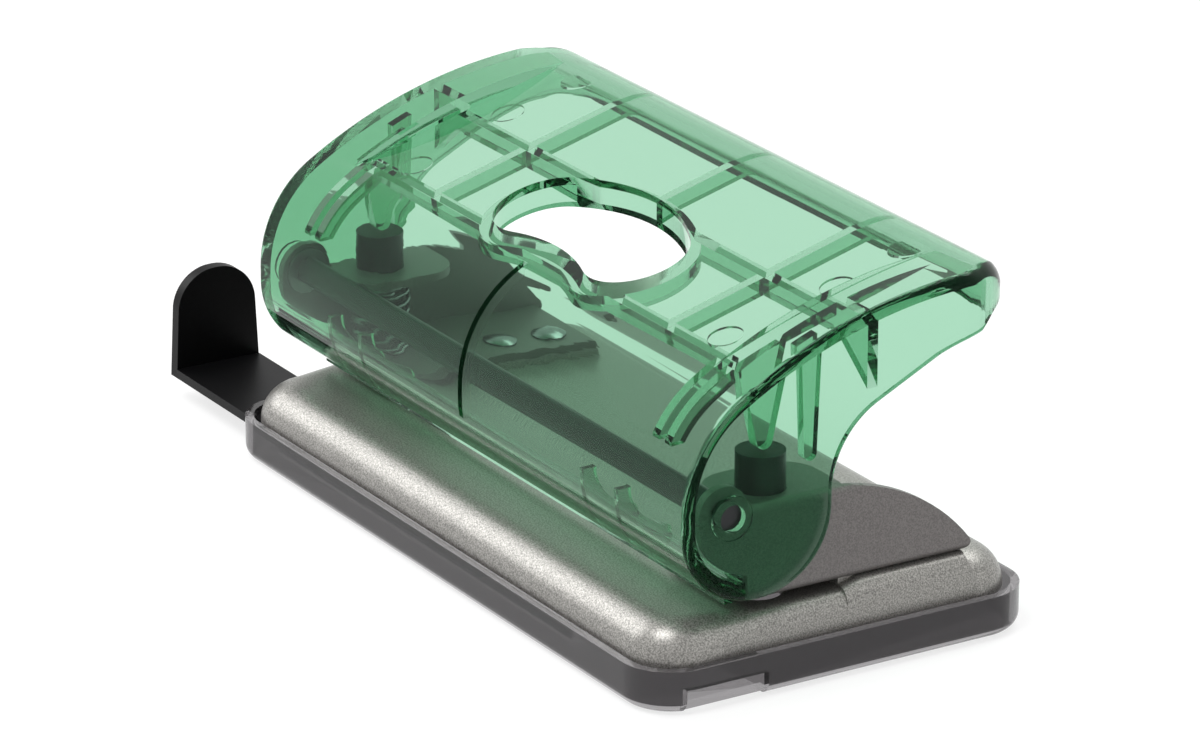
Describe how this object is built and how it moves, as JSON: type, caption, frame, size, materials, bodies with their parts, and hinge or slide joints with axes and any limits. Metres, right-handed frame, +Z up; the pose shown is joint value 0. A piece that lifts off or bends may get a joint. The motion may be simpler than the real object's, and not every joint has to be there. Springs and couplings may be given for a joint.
{
  "type": "hole punch",
  "caption": "Small desk hole punch: translucent lever with a kidney-shaped hole on an axle over spring-loaded punch pins, steel base with paper slot, chip tray and sliding paper guide.",
  "frame": {"origin": "middle of the flat face that the chip tray rests on", "axes": "+X along the punch towards the end without the paper guide, +Y from the paper side to the back, +Z up"},
  "size_m": [0.1127, 0.05, 0.043],
  "materials": {
    "green_plastic": "clear green injection-moulded plastic, glossy",
    "smoke_plastic": "smoke grey injection-moulded plastic, satin",
    "black_plastic": "black moulded plastic, matte",
    "silver_paint": "silver metallic paint on pressed steel, fine grain",
    "grey_paint": "grey metallic paint on bent steel sheet, fine grain",
    "steel": "ground steel, lightly oiled",
    "spring_steel": "drawn spring wire"
  },
  "bodies": {
    "tray": {"chip_tray": "smoke_plastic"},
    "guide": {"paper_guide": "black_plastic"},
    "base": {"base_plate": "silver_paint", "bracket_left": "grey_paint", "bracket_right": "grey_paint", "bracket_rivets": "steel", "axle": "steel", "axle_rings": "steel", "spring_left": "spring_steel", "spring_right": "spring_steel"},
    "lever": {"lever": "green_plastic"},
    "left_punch": {"pin_left": "steel", "pin_clip_left": "steel", "spring_washer_left": "steel"},
    "right_punch": {"pin_right": "steel", "pin_clip_right": "steel", "spring_washer_right": "steel"}
  },
  "joints": [
    {"name": "base_lift", "type": "slide", "parent": "tray", "child": "base", "axis": [0, 0, 1], "range_m": [0, 0.012]},
    {"name": "guide_slide", "type": "slide", "parent": "tray", "child": "guide", "axis": [-1, 0, 0], "range_m": [-0.0165, 0.04]},
    {"name": "lever_press", "type": "hinge", "parent": "base", "child": "lever", "pos_m": [0, -0.0151, 0.0214], "axis": [-1, 0, 0], "range_deg": [0, 14.5], "stiffness_Nm_per_rad": 0.35, "springref_deg": -11.46},
    {"name": "left_punch_slide", "type": "slide", "parent": "base", "child": "left_punch", "axis": [0, 0, -1], "range_m": [0, 0.00206], "deforming": ["spring_left"]},
    {"name": "right_punch_slide", "type": "slide", "parent": "base", "child": "right_punch", "axis": [0, 0, -1], "range_m": [0, 0.00206], "deforming": ["spring_right"]}
  ],
  "couplings": [
    {"joint": "left_punch_slide", "follows": "lever_press", "m_per_rad": 0.0081},
    {"joint": "right_punch_slide", "follows": "lever_press", "m_per_rad": 0.0081}
  ]
}
